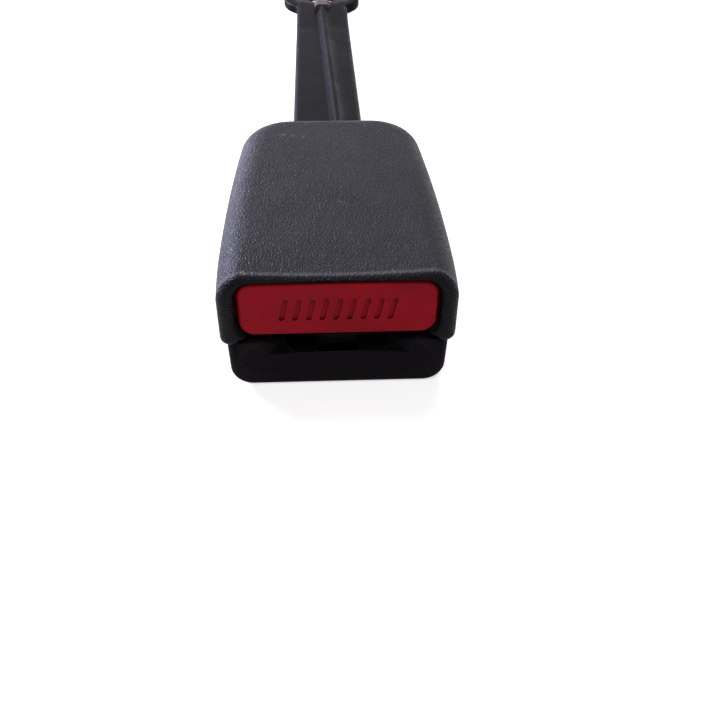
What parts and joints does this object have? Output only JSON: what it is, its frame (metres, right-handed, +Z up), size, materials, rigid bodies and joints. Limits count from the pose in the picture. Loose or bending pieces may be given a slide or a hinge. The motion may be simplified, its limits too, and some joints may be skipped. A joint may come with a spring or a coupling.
{
  "type": "seat belt buckle",
  "caption": "Seat belt buckle with a press button at its open end, on a flat sheathed stalk that ends in a bolt eye.",
  "frame": {"origin": "centre of the anchor hole on the eye's lower face, which lies on the table", "axes": "+Z up along the anchor hole, +Y from the buckle's mouth to the eye, +X to the right seen from the mouth"},
  "size_m": [0.0486, 0.2621, 0.0284],
  "materials": {
    "cover_plastic": "fine leather grain, semi-matt",
    "tray_plastic": "smooth, semi-matt",
    "button_plastic": "smooth, satin",
    "frame_steel": "zinc plated",
    "latch_steel": "hardened, oiled",
    "pin_steel": "ground",
    "spring_steel": "drawn wire",
    "slider_plastic": "moulded",
    "guide_plastic": "moulded",
    "strap_steel": "black coating worn to brown steel",
    "sheath_plastic": "satin",
    "switch_plastic": "moulded",
    "magnet": "sintered",
    "lead_jacket": "matt jacket",
    "grommet_rubber": "dusty rubber",
    "screw_steel": "black zinc"
  },
  "bodies": {
    "root": {"upper_cover": "cover_plastic", "lower_cover": "tray_plastic", "frame": "frame_steel", "latch_pin": "pin_steel", "pin_clips": "pin_steel", "latch_spring": "spring_steel", "spring_bridge": "frame_steel", "ejector_spring": "spring_steel", "button_spring_left": "spring_steel", "button_spring_right": "spring_steel", "tongue_guide": "guide_plastic", "anchor_strap": "strap_steel", "strap_rivets": "pin_steel", "strap_sheath": "sheath_plastic", "switch_housing": "switch_plastic", "switch_lead": "lead_jacket", "lead_grommet": "grommet_rubber", "cover_screws": "screw_steel"},
    "button": {"release_button": "button_plastic"},
    "latch": {"latch_plate": "latch_steel"},
    "slider": {"ejector": "slider_plastic", "switch_magnet": "magnet"}
  },
  "joints": [
    {"name": "button_press", "type": "slide", "parent": "root", "child": "button", "axis": [0, 1, 0], "range_m": [0, 0.006], "stiffness_N_per_m": 600, "springref_m": -0.008, "deforming": ["button_spring_left", "button_spring_right"]},
    {"name": "latch_lift", "type": "hinge", "parent": "root", "child": "latch", "pos_m": [0, -0.196, 0.015], "axis": [-1, 0, 0], "range_deg": [0, 10], "deforming": ["latch_spring"]},
    {"name": "ejector_slide", "type": "slide", "parent": "root", "child": "slider", "axis": [0, 1, 0], "range_m": [0, 0.009], "stiffness_N_per_m": 500, "springref_m": -0.008, "deforming": ["ejector_spring"]}
  ],
  "couplings": [
    {"joint": "latch_lift", "follows": "button_press", "rad_per_m": 29.08}
  ]
}
